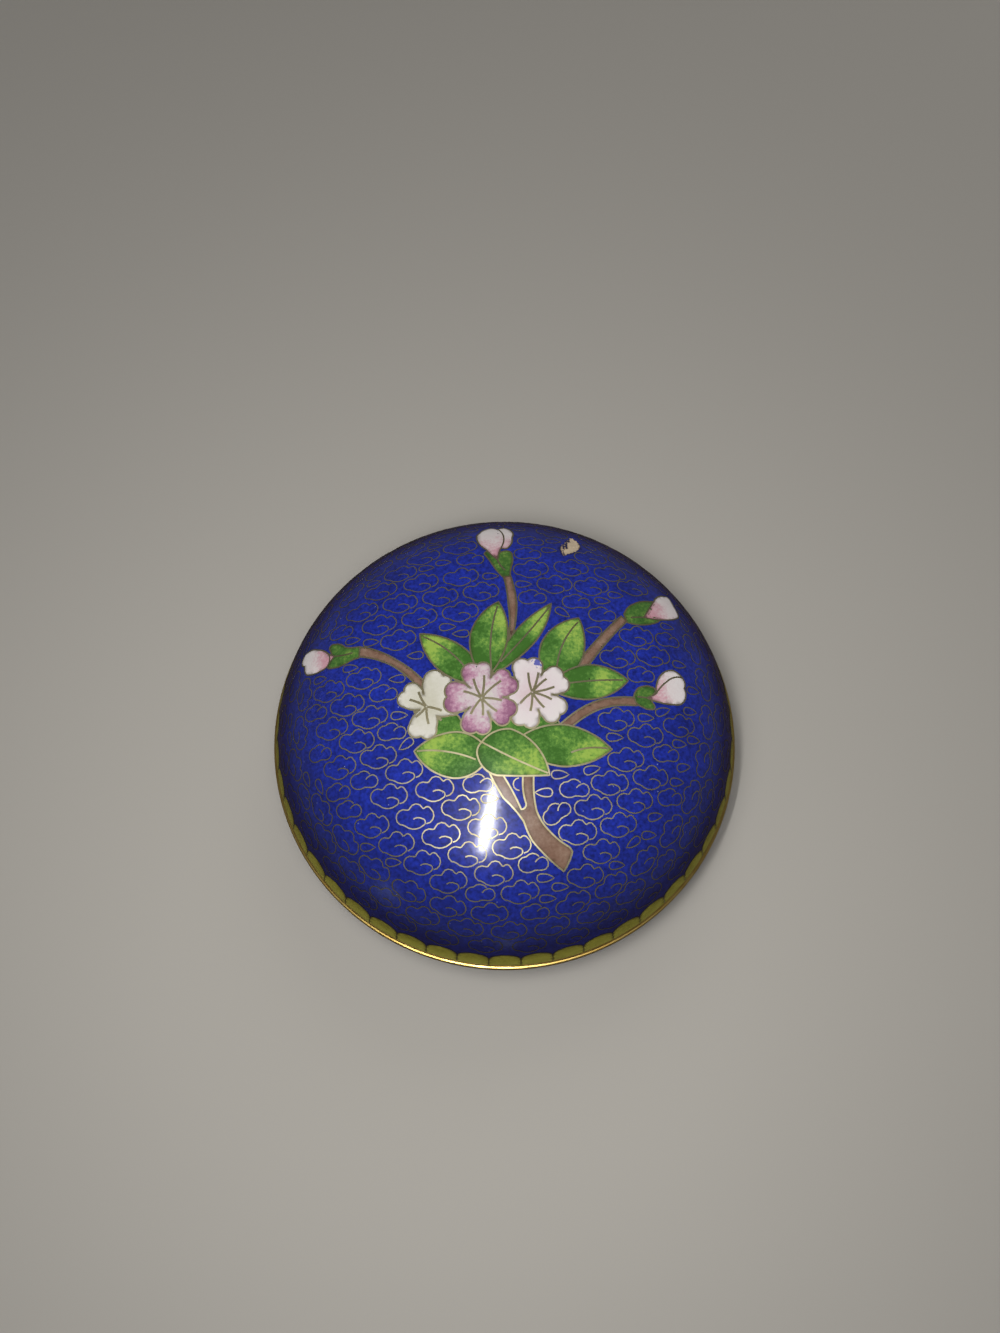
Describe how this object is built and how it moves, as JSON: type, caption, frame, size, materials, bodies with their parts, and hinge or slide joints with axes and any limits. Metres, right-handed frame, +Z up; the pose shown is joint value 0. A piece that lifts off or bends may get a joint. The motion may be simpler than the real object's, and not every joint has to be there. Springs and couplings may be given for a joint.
{
  "type": "cloisonne enamel box",
  "caption": "Round lidded box with a domed lift-off lid: cobalt cloisonne enamel with a blossom spray and cloud scrolls, gilt brass bands at the mouth and a brass foot ring.",
  "frame": {"origin": "centre of the foot ring's underside, where the box stands", "axes": "+Z up along the box's axis; -Y is the front of the lid's pattern, where the trunk of the blossom spray ends; +X to the right seen from the front"},
  "size_m": [0.101, 0.101, 0.0524],
  "materials": {
    "cobalt_enamel": "gloss, ground and polished flush with the wires",
    "gilt_brass": "polished gilt, a little worn",
    "turquoise_enamel": "gloss, counter-enamel inside the box and under it",
    "leaf_enamel": "gloss, mottled green",
    "blossom_enamel": "gloss, white shaded with pink",
    "branch_enamel": "gloss, brown"
  },
  "bodies": {
    "root": {"lid_dome": "cobalt_enamel", "lid_rim": "gilt_brass", "base_bowl": "cobalt_enamel", "base_rim": "gilt_brass", "foot_ring": "gilt_brass"}
  },
  "joints": []
}
